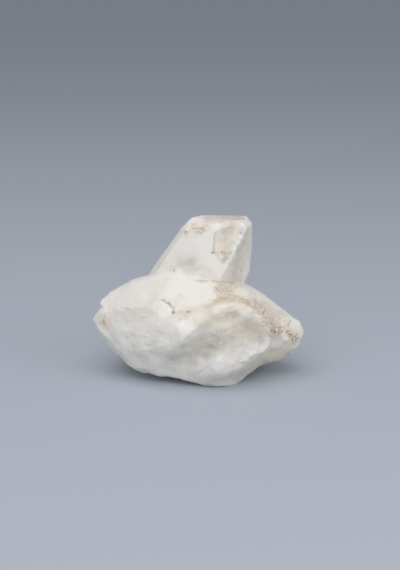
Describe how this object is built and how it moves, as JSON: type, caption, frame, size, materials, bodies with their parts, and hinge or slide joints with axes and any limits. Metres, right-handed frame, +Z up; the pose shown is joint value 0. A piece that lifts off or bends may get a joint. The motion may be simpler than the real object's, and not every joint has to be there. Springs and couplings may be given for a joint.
{
  "type": "rough quartz chunk",
  "caption": "Rough milky quartz chunk: a stubby crystal point leans out of a broken, lumpy base with shell-shaped fracture faces; it rests on a flat foot.",
  "frame": {"origin": "under the middle of the bounding box, on the plane of the flat foot", "axes": "+X along the stone's longest way, from the pointed end to the terraced end; +Z up; the side seen in the picture faces -Y"},
  "size_m": [0.1394, 0.0914, 0.1018],
  "materials": {
    "milky_quartz": "waxy fracture faces, duller crystal faces, sandy crumbs with beige and orange stain"
  },
  "bodies": {
    "root": {"quartz_chunk": "milky_quartz"}
  },
  "joints": []
}
